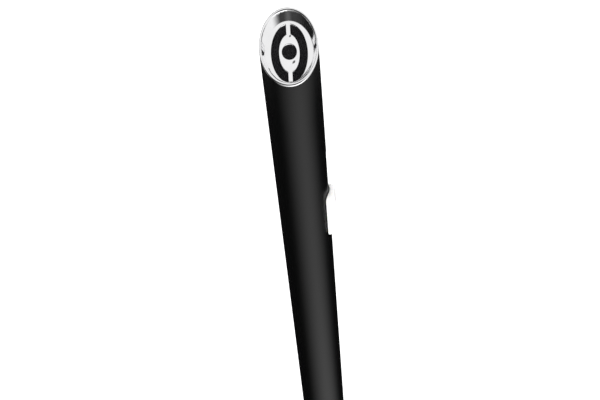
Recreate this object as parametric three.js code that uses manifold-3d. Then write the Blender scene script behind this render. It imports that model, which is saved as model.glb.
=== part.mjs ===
// Lens cleaning pen. A slim tapered metal barrel stands on its tail cap, with its axis along +Z.
// Its mouth is cut on a slant that faces -Y and holds a chromed bezel with an oval ring of two arc slots
// round a small island. A thumb slider on the +X side pushes three brush tufts out through the bezel.
// Under the pull-off tail cap is a tilting cleaning pad, and the cap holds a charged sponge for it.
// Lengths are in millimetres and angles in degrees.
import * as THREE from "three";
import { mergeVertices } from "three/addons/utils/BufferGeometryUtils.js";
import Module from "manifold-3d";

const wasm = await Module();
wasm.setup();

// Body. The outside is one straight taper from the tail face to the mouth.
const mouthHeight = 145; // tail face to the point where the mouth plane crosses the axis
const mouthRadius = 7; // outside, at that height
const tailRadius = 5.97; // outside, at the tail face
const mouthSlant = 46.4; // between the mouth plane and the axis
const barrelWall = 0.6;
const mouthWall = 0.35; // where the bezel plugs into the barrel
const endChamfer = 0.25;

// Gaps between pieces
const fitGap = 0.05; // pressed or seated pieces
const runGap = 0.12; // pieces that slide or turn in each other

// Bezel in the mouth
const lipHeight = 0.45; // above the barrel's cut end, square to it
const lipWidth = 0.7;
const lipRound = 0.2; // the lip's rounded edges
const dishDepth = 1.42; // from the mouth plane to the dish floor, along the axis
const dishSweep = 0.9; // how far in the dish wall sweeps on its way down to the floor
const skirtWall = 0.5;
const floorThickness = 1.2; // square to the floor
const skirtLength = 5; // below the lowest point of the mouth

// Slots in the dish floor, as sections across the axis
const ringHalfWidth = 4.3; // along X
const slotWidth = 1.87;
const bridgeWidth = 1;
const coreHalfWidth = 1.75; // the island's middle hole, along X
const coreHalfDepth = 1.42; // and along Y
const coreShift = 0.25; // from the axis towards +Y

// Brush and its drive
const brushTravel = 14;
const tuftGap = 0.12; // between a tuft and its slot
const tuftSink = 0.3; // below the dish floor when drawn in, along the axis
const socketDepth = 7;
const socketWall = 0.36;
const headHeight = 10;
const headMargin = 0.4; // between the head and the floor's underside at full travel
const tangSide = 4.4;
const tangLength = 5;
const headPinRadius = 0.6;
const carriageLength = 27;
const sleeveWall = 0.45;
const sleeveBelowCarriage = 6;
const stopThickness = 2;
const leafWidth = 1.6;
const leafThickness = 0.25;
const leafLength = 17;
const leafSeat = 1.1; // how deep the leaf's seat is cut into the carriage
const bowShare = 0.65; // of the leaf's length that bows out past the sleeve's bore
const leafGap = 0.12; // between the bow of the leaf and the barrel's bore

// Thumb slider
const sliderDrop = 46.9; // from the mouth plane's crossing of the axis to its middle, with the brush drawn in
const sliderLength = 12.8;
const sliderWidth = 7.3;
const sliderCorner = 1.6;
const flangeHeight = 0.75; // above the barrel's surface
const thumbTopHeight = 1.1; // of the smooth upper part, at the slider's upper end
const thumbLength = 3.9;
const ribHigh = 1.7; // the first rib's height, where the smooth part ends
const ribLow = 1.28; // the last rib's height
const ribDepth = 0.35;
const ribCount = 7;
const ribPitch = 1;
const ribInset = 0.35; // from the flange's long edges
const sliderLift = 0.2; // between the slider and the barrel
const neckWidth = 2;
const neckLength = 8;
const slotClearance = 0.2; // each side of the neck, in the barrel and sleeve

// Tail: holder, trim ring and cap
const capHeight = 19.6;
const capWall = 0.6;
const trimHeight = 1.2;
const holderDepth = 8; // of its plug in the barrel
const shoulderHeight = 0.7;
const spigotLength = 7;
const ringTube = 0.35; // the friction ring's section radius
const ringBelowShoulder = 3;
const ringStandoff = 0.04; // between the ring and the spigot
const grooveWall = 0.3; // of the liner, outside the ring
const linerWall = 0.45;
const endDiscThickness = 1.2;
const linerFloor = 0.6;
const spongeThickness = 2;

// Tilting cleaning tip
const tipPivotHeight = 8.6;
const ballRadius = 1.3;
const stemRadius = 0.75;
const tipHubRadius = 2.2;
const tipDiscRadius = 3.5;
const tipDiscThickness = 0.9;
const padThickness = 0.9;
const padBottom = 4.6;

// Facets
const roundSegments = 40;
const ovalSegments = 48;
const smallSegments = 20;

const sin = Math.sin((mouthSlant * Math.PI) / 180);
const cos = Math.cos((mouthSlant * Math.PI) / 180);
const taper = (mouthRadius - tailRadius) / mouthHeight;
const radiusAt = (z) => tailRadius + taper * z;
const boreAt = (z) => radiusAt(z) - barrelWall;

// The mouth's own frame: u along X, v up the slant, w square to the mouth plane and outwards.
const mouthFrame = new THREE.Matrix4()
  .makeBasis(
    new THREE.Vector3(1, 0, 0),
    new THREE.Vector3(0, sin, cos),
    new THREE.Vector3(0, -cos, sin),
  )
  .setPosition(0, 0, mouthHeight);
// The slider's frame: its width along Y, its length along Z, its height along X.
const sideFrame = (x, z) =>
  new THREE.Matrix4()
    .makeBasis(
      new THREE.Vector3(0, 1, 0),
      new THREE.Vector3(0, 0, 1),
      new THREE.Vector3(1, 0, 0),
    )
    .setPosition(x, 0, z);

// A closed geometry as a manifold solid, facing outwards.
function solid(geometry) {
  const bare = new THREE.BufferGeometry();
  bare.setAttribute("position", geometry.getAttribute("position"));
  bare.setIndex(geometry.index);
  const merged = mergeVertices(bare, 1e-4);
  const corners = new Uint32Array(merged.index.array);
  const make = (triVerts) =>
    new wasm.Manifold(
      new wasm.Mesh({
        numProp: 3,
        vertProperties: new Float32Array(merged.attributes.position.array),
        triVerts,
      }),
    );
  const made = make(corners);
  return made.volume() > 0 ? made : make(corners.slice().reverse());
}

// A solid of revolution about Z from [radius, height] pairs that start and end on the axis or run in a loop.
function turned(profile, segments = roundSegments) {
  const onAxis = profile[0][0] === 0 && profile.at(-1)[0] === 0;
  const points = (onAxis ? profile : [...profile, profile[0]]).map(([r, z]) => new THREE.Vector2(r, z));
  return solid(new THREE.LatheGeometry(points, segments).rotateX(Math.PI / 2));
}

// A tube that follows the barrel's taper: its outer and inner surfaces lie inset below the outside.
function taperedTube(outerInset, innerInset, z0, z1) {
  return turned([
    [radiusAt(z0) - outerInset, z0],
    [radiusAt(z1) - outerInset, z1],
    [radiusAt(z1) - innerInset, z1],
    [radiusAt(z0) - innerInset, z0],
  ]);
}

const disc = (radius, z0, z1, segments) =>
  turned([[0, z0], [radius, z0], [radius, z1], [0, z1]], segments);

function taperedRod(inset, z0, z1) {
  return turned([[0, z0], [radiusAt(z0) - inset, z0], [radiusAt(z1) - inset, z1], [0, z1]]);
}

const block = (sizeX, sizeY, sizeZ, x, y, z) =>
  solid(new THREE.BoxGeometry(sizeX, sizeY, sizeZ).translate(x, y, z));

// A flat outline raised along Z from z0 to z1.
function raised(shape, z0, z1, segments = ovalSegments) {
  const options = { depth: z1 - z0, bevelEnabled: false, curveSegments: segments };
  return solid(new THREE.ExtrudeGeometry(shape, options).translate(0, 0, z0));
}

// Ovals stacked along the mouth's w axis, each with half sizes a and b and its centre v up the slant.
function ovalStack(levels) {
  const positions = [];
  const index = [];
  const count = ovalSegments;
  for (const { a, b, v, w } of levels)
    for (let i = 0; i < count; i++) {
      const angle = (2 * Math.PI * i) / count;
      positions.push(a * Math.cos(angle), v + b * Math.sin(angle), w);
    }
  const last = levels.length - 1;
  for (let level = 0; level < last; level++)
    for (let i = 0; i < count; i++) {
      const here = level * count + i;
      const next = level * count + ((i + 1) % count);
      index.push(here, next, next + count, here, next + count, here + count);
    }
  for (let i = 1; i < count - 1; i++) {
    index.push(0, i + 1, i);
    index.push(last * count, last * count + i, last * count + i + 1);
  }
  const geometry = new THREE.BufferGeometry();
  geometry.setAttribute("position", new THREE.Float32BufferAttribute(positions, 3));
  geometry.setIndex(index);
  return solid(geometry.applyMatrix4(mouthFrame));
}

// The oval that the tapered outside, taken in by inset, has in the plane at height w over the mouth plane.
function mouthOval(inset, w) {
  const radius = mouthRadius - inset;
  const top = (radius + w * cos + taper * w * sin) / (sin - taper * cos);
  const bottom = (-radius + w * cos - taper * w * sin) / (sin + taper * cos);
  const v = (top + bottom) / 2;
  const y = v * sin - w * cos;
  const local = radius + taper * (v * cos + w * sin);
  return { a: Math.sqrt(local * local - y * y), b: (top - bottom) / 2, v, w };
}

// Everything above the plane at height w over the mouth plane.
function aboveMouth(w) {
  const size = 8 * mouthRadius;
  const box = new THREE.BoxGeometry(size, size, size).translate(0, 0, w + size / 2);
  return solid(box.applyMatrix4(mouthFrame));
}

// A slot outline with round ends, long along its own Y.
function stadium(width, length) {
  const r = width / 2;
  const straight = length / 2 - r;
  const shape = new THREE.Shape();
  shape.absarc(0, straight, r, 0, Math.PI, false);
  shape.absarc(0, -straight, r, Math.PI, 2 * Math.PI, false);
  return shape;
}

function roundedRectangle(width, length, radius) {
  const x = width / 2 - radius;
  const y = length / 2 - radius;
  const shape = new THREE.Shape();
  shape.absarc(x, y, radius, 0, Math.PI / 2, false);
  shape.absarc(-x, y, radius, Math.PI / 2, Math.PI, false);
  shape.absarc(-x, -y, radius, Math.PI, 1.5 * Math.PI, false);
  shape.absarc(x, -y, radius, 1.5 * Math.PI, 2 * Math.PI, false);
  return shape;
}

function oval(halfX, halfY, y = 0) {
  const shape = new THREE.Shape();
  shape.absellipse(0, y, halfX, halfY, 0, 2 * Math.PI, false, 0);
  return shape;
}

// What follows from the driving sizes, from the mouth down
const sliderCentre = mouthHeight - sliderDrop;
const mouthLow = mouthHeight - (mouthRadius / sin) * cos; // lowest point of the mouth plane on the barrel
const mouthHigh = mouthHeight + (mouthRadius / sin) * cos + 2;
const floorW = -dishDepth * sin; // the dish floor's height over the mouth plane
const undersideW = floorW - floorThickness;
const skirtBottom = mouthLow - skirtLength;
const bezelInset = mouthWall + fitGap;
const skirtInset = bezelInset + skirtWall;

const headTopFull = mouthHeight + undersideW / sin - (mouthRadius - skirtInset) * (cos / sin) - headMargin;
const headTop = headTopFull - brushTravel;
const headBottom = headTop - headHeight;
const sleeveInset = barrelWall + fitGap;
const sleeveBoreInset = sleeveInset + sleeveWall;
const headHalfDepth = radiusAt(headBottom) - sleeveBoreInset - runGap; // along Y
const ringHalfDepth = headHalfDepth - socketWall + tuftGap; // the slots' outer oval, along Y
const headHalfWidth = ringHalfWidth - tuftGap + socketWall;
const islandHalfWidth = ringHalfWidth - slotWidth;
const islandHalfDepth = ringHalfDepth - slotWidth;
const sleeveTop = skirtBottom - fitGap;
const carriageTop = headBottom - fitGap;
const carriageBottom = carriageTop - carriageLength;
// The carriage starts where the sleeve is narrowest.
const carriageRadius = radiusAt(carriageBottom) - sleeveBoreInset - runGap;
const sleeveBottom = carriageBottom - sleeveBelowCarriage;
const slotBottom = sliderCentre - neckLength / 2 - slotClearance;
const slotTop = sliderCentre + neckLength / 2 + brushTravel + slotClearance;

const barrelBottom = capHeight + trimHeight + 2 * fitGap;
const trimBottom = capHeight + fitGap;
const shoulderBottom = trimBottom - fitGap - shoulderHeight;
const spigotBottom = shoulderBottom - spigotLength;
const ringHeight = shoulderBottom - ringBelowShoulder;
const linerInset = capWall + fitGap;
const grooveRadius = radiusAt(ringHeight) - linerInset - grooveWall;
const ringCentreRadius = grooveRadius - fitGap - ringTube;
const spigotRadius = ringCentreRadius - ringTube - ringStandoff;
const linerTop = shoulderBottom - runGap;
const linerBore = spigotRadius + 2 * runGap;
const linerBottom = endDiscThickness + fitGap;
const spongeBottom = linerBottom + linerFloor + fitGap;
const spongeTop = spongeBottom + spongeThickness - runGap;
const linerWide = radiusAt(linerBottom) - linerInset - linerWall; // the liner's wide bore round the tip

const materials = {
  barrel: new THREE.MeshStandardMaterial({ color: 0x171717, roughness: 0.42, metalness: 0.2 }),
  chrome: new THREE.MeshStandardMaterial({ color: 0xd9dadc, roughness: 0.06, metalness: 1 }),
  slider: new THREE.MeshStandardMaterial({ color: 0xf4f3ee, roughness: 0.35, metalness: 0 }),
  bristle: new THREE.MeshStandardMaterial({ color: 0x101012, roughness: 0.85, metalness: 0 }),
  plastic: new THREE.MeshStandardMaterial({ color: 0x26272a, roughness: 0.6, metalness: 0 }),
  sleeve: new THREE.MeshStandardMaterial({ color: 0x3a3b3e, roughness: 0.5, metalness: 0 }),
  steel: new THREE.MeshStandardMaterial({ color: 0xb8babd, roughness: 0.28, metalness: 1 }),
  rubber: new THREE.MeshStandardMaterial({ color: 0x141415, roughness: 0.8, metalness: 0 }),
  pad: new THREE.MeshStandardMaterial({ color: 0x1d1d1f, roughness: 0.95, metalness: 0 }),
  sponge: new THREE.MeshStandardMaterial({ color: 0x2a2a2c, roughness: 1, metalness: 0 }),
};

const pen = new THREE.Group();
pen.name = "lens_cleaning_pen";

function add(name, shape, material) {
  const mesh = shape.getMesh();
  const geometry = new THREE.BufferGeometry();
  geometry.setAttribute("position", new THREE.BufferAttribute(mesh.vertProperties, 3));
  geometry.setIndex(new THREE.BufferAttribute(mesh.triVerts, 1));
  geometry.computeVertexNormals();
  const node = new THREE.Mesh(geometry, material);
  node.name = name;
  pen.add(node);
}

// A slot through the +X side, wide enough for the slider's neck over its whole travel.
function neckSlot() {
  const outline = stadium(neckWidth + 2 * slotClearance, slotTop - slotBottom);
  const options = { depth: 2 * mouthRadius, bevelEnabled: false, curveSegments: 8 };
  const middle = (slotTop + slotBottom) / 2;
  return solid(new THREE.ExtrudeGeometry(outline, options).applyMatrix4(sideFrame(0, middle)));
}

function barrel() {
  const z0 = barrelBottom;
  const tube = turned([
    [radiusAt(z0) - endChamfer, z0],
    [radiusAt(z0 + endChamfer), z0 + endChamfer],
    [radiusAt(mouthHigh), mouthHigh],
    [radiusAt(mouthHigh) - mouthWall, mouthHigh],
    [radiusAt(skirtBottom) - mouthWall, skirtBottom - fitGap],
    [boreAt(skirtBottom), skirtBottom - fitGap],
    [boreAt(z0), z0],
  ]);
  return tube.subtract(aboveMouth(0)).subtract(neckSlot());
}

// One arc slot's section across the axis, on the +X side, with every edge moved in by inset.
function arcSection(inset) {
  const edge = bridgeWidth / 2 + inset;
  const outerX = ringHalfWidth - inset;
  const outerY = ringHalfDepth - inset;
  const innerX = islandHalfWidth + inset;
  const innerY = islandHalfDepth + inset;
  const outerAngle = Math.acos(edge / outerX);
  const innerAngle = Math.acos(edge / innerX);
  const shape = new THREE.Shape();
  shape.absellipse(0, 0, outerX, outerY, -outerAngle, outerAngle, false, 0);
  shape.absellipse(0, 0, innerX, innerY, innerAngle, -innerAngle, true, 0);
  return shape;
}

const coreSection = (inset) => oval(coreHalfWidth - inset, coreHalfDepth - inset, coreShift);

// The three slot prisms, which the bezel and the brush head share.
function slotPrisms(inset, z0, z1) {
  const arc = raised(arcSection(inset), z0, z1, ovalSegments / 2);
  return [raised(coreSection(inset), z0, z1, smallSegments), arc, arc.mirror([1, 0, 0])];
}

// The dish sweeps down from the lip in a quarter oval to a flat floor.
function dishCavity() {
  const steps = 7;
  const levels = [];
  for (let i = 0; i <= steps; i++) {
    const angle = (Math.PI / 2) * (i / steps);
    const inset = lipWidth + dishSweep * (1 - Math.sin(angle));
    levels.push(mouthOval(inset, floorW * Math.cos(angle)));
  }
  levels.push(mouthOval(lipWidth, lipHeight - lipRound));
  levels.push(mouthOval(lipWidth - lipRound, lipHeight));
  levels.push(mouthOval(lipWidth - lipRound, lipHeight + 1));
  return ovalStack(levels);
}

function mouthBezel() {
  const lip = ovalStack([
    mouthOval(0, fitGap),
    mouthOval(0, lipHeight - lipRound),
    mouthOval(lipRound * 0.3, lipHeight - lipRound * 0.3),
    mouthOval(lipRound, lipHeight),
  ]);
  const plug = taperedRod(bezelInset, skirtBottom, mouthHigh).subtract(aboveMouth(2 * fitGap));
  const hollow = taperedRod(skirtInset, skirtBottom - 1, mouthHigh).subtract(aboveMouth(undersideW));
  let bezel = lip.add(plug).subtract(dishCavity()).subtract(hollow);
  for (const slot of slotPrisms(0, skirtBottom, mouthHigh)) bezel = bezel.subtract(slot);
  return bezel;
}

// The tufts run from their sockets to just under the dish floor, and end on the same slant.
function tufts() {
  const trim = aboveMouth(floorW - tuftSink * sin);
  return slotPrisms(tuftGap, headTop - socketDepth + fitGap, mouthHigh).map((prism) => prism.subtract(trim));
}

const headPinHeight = headBottom - tangLength / 2;

function pinHole(radius) {
  const length = 4 * carriageRadius;
  const rod = new THREE.CylinderGeometry(radius, radius, length, smallSegments);
  return solid(rod.rotateZ(Math.PI / 2).rotateZ(Math.PI / 2).translate(0, 0, headPinHeight));
}

function brushHead() {
  let head = raised(oval(headHalfWidth, headHalfDepth), headBottom, headTop);
  const tang = block(tangSide, tangSide, tangLength, 0, 0, headBottom - tangLength / 2 + 0.001);
  head = head.add(tang).subtract(pinHole(headPinRadius + fitGap));
  const sockets = slotPrisms(tuftGap - fitGap, headTop - socketDepth, headTop + 1);
  for (const socket of sockets) head = head.subtract(socket);
  return head;
}

function headPin() {
  const halfLength = carriageRadius - 0.4;
  const rod = new THREE.CylinderGeometry(headPinRadius, headPinRadius, 2 * halfLength, smallSegments);
  return solid(rod.translate(0, 0, headPinHeight));
}

const leafMiddle = carriageBottom + 3 + leafLength / 2;
const leafFloor = carriageRadius - leafSeat + fitGap; // where the leaf's ends rest, out from the axis
const legDepth = 3; // how far the slider's legs reach into the carriage
const legX = carriageRadius - legDepth;

function carriage() {
  const chamfer = 0.5;
  const body = turned([
    [0, carriageBottom],
    [carriageRadius - chamfer, carriageBottom],
    [carriageRadius, carriageBottom + chamfer],
    [carriageRadius, carriageTop - chamfer],
    [carriageRadius - chamfer, carriageTop],
    [0, carriageTop],
  ]);
  const side = tangSide + 2 * fitGap;
  const tangPocket = block(side, side, tangLength + 1, 0, 0, carriageTop - (tangLength + 1) / 2 + 0.3);
  const legPocket = block(
    legDepth + 1, neckWidth + 2 * fitGap, neckLength + 2 * fitGap,
    carriageRadius - legDepth / 2 + 0.5 - fitGap, 0, sliderCentre,
  );
  const leafPocket = block(
    leafSeat + 1, leafWidth + 2 * runGap, leafLength + 2 * runGap,
    -carriageRadius + leafSeat / 2 - 0.5, 0, leafMiddle,
  );
  const core = disc(1.6, carriageBottom - 1, carriageBottom + 8, smallSegments);
  return body.subtract(tangPocket).subtract(legPocket).subtract(leafPocket).subtract(core)
    .subtract(pinHole(headPinRadius + fitGap));
}

// A bowed leaf in the carriage's -X pocket. It bears on the barrel's bore through the sleeve's track.
function frictionLeaf() {
  const reach = boreAt(leafMiddle) - leafGap - leafFloor - leafThickness;
  const steps = 20;
  const line = [];
  for (let i = 0; i <= steps; i++) {
    const along = leafLength * (i / steps - 0.5);
    const bow = Math.cos((Math.PI * along) / leafLength) ** 2;
    line.push([-leafFloor - leafThickness - reach * bow, along + leafMiddle]);
  }
  const shape = new THREE.Shape();
  line.forEach(([x, z], i) => (i ? shape.lineTo(x, z) : shape.moveTo(x, z)));
  line.reverse().forEach(([x, z]) => shape.lineTo(x + leafThickness, z));
  shape.closePath();
  const options = { depth: leafWidth, bevelEnabled: false };
  const flat = new THREE.ExtrudeGeometry(shape, options).translate(0, 0, -leafWidth / 2);
  return solid(flat.rotateX(Math.PI / 2));
}

// The sleeve guides the carriage. The leaf runs in its -X track and the slider's neck in its +X slot.
function trackSleeve() {
  const tube = taperedTube(sleeveInset, sleeveBoreInset, sleeveBottom, sleeveTop);
  const track = stadium(leafWidth + 2 * runGap, brushTravel + bowShare * leafLength);
  const options = { depth: 2 * mouthRadius, bevelEnabled: false, curveSegments: 8 };
  const frame = sideFrame(-2 * mouthRadius - 1, leafMiddle + brushTravel / 2);
  const cutter = solid(new THREE.ExtrudeGeometry(track, options).applyMatrix4(frame));
  return tube.subtract(neckSlot()).subtract(cutter);
}

function sleeveStop() {
  const z1 = sleeveBottom - fitGap;
  const z0 = z1 - stopThickness;
  const plug = taperedRod(sleeveInset, z0, z1);
  const boss = disc(radiusAt(sleeveBottom) - sleeveBoreInset - fitGap, z1 - 0.01, z1 + 1.5);
  return plug.add(boss).subtract(disc(1.4, z0 - 1, z1 + 3, smallSegments));
}

// The slider in side view: x is the height over the barrel, and y runs along the pen from its middle.
function sliderProfile() {
  const half = sliderLength / 2;
  const ribTop = half - thumbLength;
  const drop = (ribHigh - ribLow) / (ribCount * ribPitch);
  const shape = new THREE.Shape();
  shape.moveTo(-2, -half);
  shape.lineTo(flangeHeight, -half);
  shape.lineTo(flangeHeight, ribTop - ribCount * ribPitch - 0.1);
  for (let i = ribCount - 1; i >= 0; i--) {
    const top = ribTop - i * ribPitch;
    const height = ribHigh - drop * i * ribPitch;
    shape.lineTo(height, top - ribPitch * 0.82);
    shape.lineTo(height, top - ribPitch * 0.4);
    shape.lineTo(height - ribDepth, top - ribPitch * 0.15);
  }
  shape.lineTo(ribHigh, ribTop + 0.1);
  for (let i = 1; i <= 6; i++) {
    const t = i / 6;
    shape.lineTo(ribHigh - (ribHigh - thumbTopHeight) * t * t, ribTop + 0.1 + (thumbLength - 0.35) * t);
  }
  shape.lineTo(thumbTopHeight - 0.3, half);
  shape.lineTo(-2, half);
  shape.closePath();
  return shape;
}

function sliderButton() {
  const surface = radiusAt(sliderCentre) + sliderLift;
  const tilt = Math.atan(taper);
  const across = { depth: sliderWidth, bevelEnabled: false };
  const side = new THREE.ExtrudeGeometry(sliderProfile(), across).translate(0, 0, -sliderWidth / 2);
  side.rotateX(Math.PI / 2).rotateY(tilt).translate(surface, 0, sliderCentre);
  const rise = { depth: 3 * ribHigh, bevelEnabled: false, curveSegments: 6 };
  const outline = roundedRectangle(sliderWidth, sliderLength, sliderCorner);
  const column = new THREE.ExtrudeGeometry(outline, rise)
    .applyMatrix4(sideFrame(0, 0)).rotateY(tilt).translate(surface - 2, 0, sliderCentre);
  const inner = 2 * ribInset;
  const crown = roundedRectangle(sliderWidth - inner, sliderLength - inner, sliderCorner - ribInset);
  const upper = new THREE.ExtrudeGeometry(crown, rise)
    .applyMatrix4(sideFrame(0, 0)).rotateY(tilt).translate(surface - 2, 0, sliderCentre);
  const flange = new THREE.BoxGeometry(4, 2 * sliderWidth, 2 * sliderLength)
    .translate(flangeHeight - 2, 0, 0).rotateY(tilt).translate(surface, 0, sliderCentre);
  const top = solid(side).intersect(solid(column));
  const stepped = top.intersect(solid(flange).add(solid(upper)));
  const underside = taperedRod(-sliderLift, sliderCentre - sliderLength, sliderCentre + sliderLength);
  const reach = { depth: surface + flangeHeight / 2 - legX, bevelEnabled: false, curveSegments: 8 };
  const neck = new THREE.ExtrudeGeometry(stadium(neckWidth, neckLength), reach);
  return stepped.subtract(underside).add(solid(neck.applyMatrix4(sideFrame(legX, sliderCentre))));
}

function trimRing() {
  const z0 = trimBottom;
  const z1 = z0 + trimHeight;
  const round = 0.25;
  const bulge = 0.12;
  const inner = boreAt(z0) - 0.4 + fitGap;
  return turned([
    [inner, z0],
    [radiusAt(z0) - round + bulge, z0],
    [radiusAt(z0) + bulge, z0 + round],
    [radiusAt(z1) + bulge, z1 - round],
    [radiusAt(z1) - round + bulge, z1],
    [inner, z1],
  ]);
}

// A plug in the barrel's end, a shoulder that traps the trim ring, and the spigot that the cap grips.
function tipHolder() {
  const plugRadius = boreAt(barrelBottom) - fitGap;
  const plugTop = barrelBottom + holderDepth;
  const waist = boreAt(trimBottom) - 0.4;
  const shoulderRadius = waist + 0.35;
  const holder = turned([
    [0, spigotBottom],
    [spigotRadius - 0.4, spigotBottom],
    [spigotRadius, spigotBottom + 0.4],
    [spigotRadius, shoulderBottom],
    [shoulderRadius, shoulderBottom],
    [shoulderRadius, trimBottom - fitGap],
    [waist, trimBottom - fitGap],
    [waist, trimBottom + trimHeight + fitGap],
    [plugRadius, trimBottom + trimHeight + 2 * fitGap],
    [plugRadius, plugTop - 0.5],
    [plugRadius - 0.5, plugTop],
    [0, plugTop],
  ]);
  const stemSeat = disc(stemRadius + 0.5 + fitGap, spigotBottom - 1, spigotBottom + 4, smallSegments);
  const core = disc(2.4, spigotBottom + 6, plugTop + 1, smallSegments);
  return holder.subtract(stemSeat).subtract(core);
}

function arcPoints(cx, cy, radius, from, to, steps) {
  const points = [];
  for (let i = 0; i <= steps; i++) {
    const angle = ((from + ((to - from) * i) / steps) * Math.PI) / 180;
    points.push([cx + radius * Math.cos(angle), cy + radius * Math.sin(angle)]);
  }
  return points;
}

// A pin with a ball on its lower end, pushed up into the holder.
function tipStem() {
  const neckAngle = (Math.acos(stemRadius / ballRadius) * 180) / Math.PI;
  const ball = arcPoints(0, tipPivotHeight, ballRadius, -90, neckAngle, 10);
  ball[0][0] = 0;
  const root = stemRadius + 0.5;
  const top = spigotBottom + 4 - fitGap;
  const shank = [[stemRadius, spigotBottom - 0.3], [root, spigotBottom], [root, top], [0, top]];
  return turned([...ball, ...shank], smallSegments);
}

function tipCarrier() {
  const discTop = padBottom + padThickness + fitGap + tipDiscThickness;
  const hubTop = tipPivotHeight + 0.8;
  const cup = ballRadius + runGap;
  const mouthAngle = (Math.asin(0.8 / cup) * 180) / Math.PI;
  const inside = arcPoints(0, tipPivotHeight, cup, mouthAngle, -90, 10);
  inside.at(-1)[0] = 0;
  return turned([
    [0, padBottom + padThickness + fitGap],
    [tipDiscRadius, padBottom + padThickness + fitGap],
    [tipDiscRadius, discTop],
    [tipHubRadius, discTop + 0.5],
    [tipHubRadius, hubTop],
    ...inside,
  ], 32);
}

// The cleaning pad is a thin disc, dished on its face to sit on a curved lens.
function tipPad() {
  const radius = tipDiscRadius + 0.1;
  const dish = 0.3;
  const z1 = padBottom + padThickness;
  const face = [];
  const steps = 5;
  for (let i = 0; i <= steps; i++) {
    const r = ((radius - 0.25) * i) / steps;
    face.push([r, padBottom + dish * (1 - (r / (radius - 0.25)) ** 2)]);
  }
  return turned([...face, [radius, padBottom + 0.25], [radius, z1], [0, z1]], 32);
}

function capShell() {
  return turned([
    [radiusAt(0) - endChamfer, 0],
    [radiusAt(endChamfer), endChamfer],
    [radiusAt(capHeight - endChamfer), capHeight - endChamfer],
    [radiusAt(capHeight) - endChamfer, capHeight],
    [radiusAt(capHeight) - capWall, capHeight],
    [radiusAt(0) - capWall, 0],
  ]);
}

function capEndDisc() {
  const r = radiusAt(0) - capWall - fitGap;
  return turned([
    [0, 0],
    [r - endChamfer, 0],
    [r, endChamfer],
    [r, endDiscThickness],
    [0, endDiscThickness],
  ]);
}

// The cap's liner: a floor for the sponge, a wide bore round the tip, and the ring's groove above it.
function capLiner() {
  const outer = (z) => radiusAt(z) - linerInset;
  const step = tipPivotHeight + 2.2;
  const groove = ringTube + fitGap;
  return turned([
    [0, linerBottom],
    [outer(linerBottom), linerBottom],
    [outer(linerTop), linerTop],
    [linerBore + 0.3, linerTop],
    [linerBore, linerTop - 0.3],
    [linerBore, ringHeight + groove],
    [grooveRadius, ringHeight + groove],
    [grooveRadius, ringHeight - groove],
    [linerBore, ringHeight - groove],
    [linerBore, step + 0.4],
    [linerWide, step],
    [linerWide, linerBottom + linerFloor],
    [0, linerBottom + linerFloor],
  ]);
}

function frictionRing() {
  return turned(arcPoints(ringCentreRadius, ringHeight, ringTube, 0, 324, 9));
}

function capSponge() {
  const r = linerWide - fitGap;
  return turned([
    [0, spongeBottom],
    [r, spongeBottom],
    [r, spongeTop - 0.2],
    [r - 0.2, spongeTop],
    [0, spongeTop],
  ]);
}

add("barrel", barrel(), materials.barrel);
add("mouth_bezel", mouthBezel(), materials.chrome);
add("track_sleeve", trackSleeve(), materials.sleeve);
add("sleeve_end_stop", sleeveStop(), materials.sleeve);
add("carriage", carriage(), materials.plastic);
add("friction_leaf", frictionLeaf(), materials.steel);
add("slider_button", sliderButton(), materials.slider);
add("brush_head", brushHead(), materials.plastic);
add("brush_head_pin", headPin(), materials.steel);
const tuftNames = ["brush_tuft_core", "brush_tuft_right", "brush_tuft_left"];
tufts().forEach((tuft, i) => add(tuftNames[i], tuft, materials.bristle));
add("trim_ring", trimRing(), materials.chrome);
add("tip_holder", tipHolder(), materials.plastic);
add("tip_ball_stem", tipStem(), materials.steel);
add("tip_carrier", tipCarrier(), materials.rubber);
add("tip_pad", tipPad(), materials.pad);
add("cap_shell", capShell(), materials.barrel);
add("cap_end_disc", capEndDisc(), materials.chrome);
add("cap_liner", capLiner(), materials.plastic);
add("cap_friction_ring", frictionRing(), materials.rubber);
add("cap_sponge", capSponge(), materials.sponge);

export default pen;
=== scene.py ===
import math

import bpy
import numpy as np
from mathutils import Matrix, Vector
from mathutils.geometry import delaunay_2d_cdt


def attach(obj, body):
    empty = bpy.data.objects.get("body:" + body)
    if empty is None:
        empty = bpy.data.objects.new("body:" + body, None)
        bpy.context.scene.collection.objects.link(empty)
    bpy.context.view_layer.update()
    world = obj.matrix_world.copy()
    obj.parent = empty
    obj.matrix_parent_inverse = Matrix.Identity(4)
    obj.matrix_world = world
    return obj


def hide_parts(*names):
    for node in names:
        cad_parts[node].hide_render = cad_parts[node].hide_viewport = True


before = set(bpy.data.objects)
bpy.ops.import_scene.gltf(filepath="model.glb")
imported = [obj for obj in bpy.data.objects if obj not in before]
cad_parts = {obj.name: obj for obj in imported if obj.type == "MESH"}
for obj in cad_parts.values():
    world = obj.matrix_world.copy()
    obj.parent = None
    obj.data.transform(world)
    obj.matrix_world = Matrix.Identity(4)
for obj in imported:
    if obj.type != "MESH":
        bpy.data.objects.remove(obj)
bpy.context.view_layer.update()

# ---------------------------------------------------------------- sizes, in millimetres
MOUTH_Z = 145.0
MOUTH_R = 7.0
TAIL_R = 5.97
SLANT = math.radians(46.4)
SIN, COS = math.sin(SLANT), math.cos(SLANT)
TAPER = (MOUTH_R - TAIL_R) / MOUTH_Z
WALL = 0.6
TRIM_LOW, TRIM_HIGH = 19.65, 20.85
BARREL_LOW = 20.9
FLOOR_W = -1.42 * SIN
RING_X, RING_Y = 4.3, 5.27
SLOT_WIDE = 1.87
BRIDGE = 1.0
CORE_X, CORE_Y, CORE_SHIFT = 1.75, 1.42, 0.25
SLIDER_Z = 98.1
SLIDER_LONG, SLIDER_WIDE, SLIDER_CORNER = 12.8, 7.3, 1.6
TRAVEL = 14.0


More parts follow.
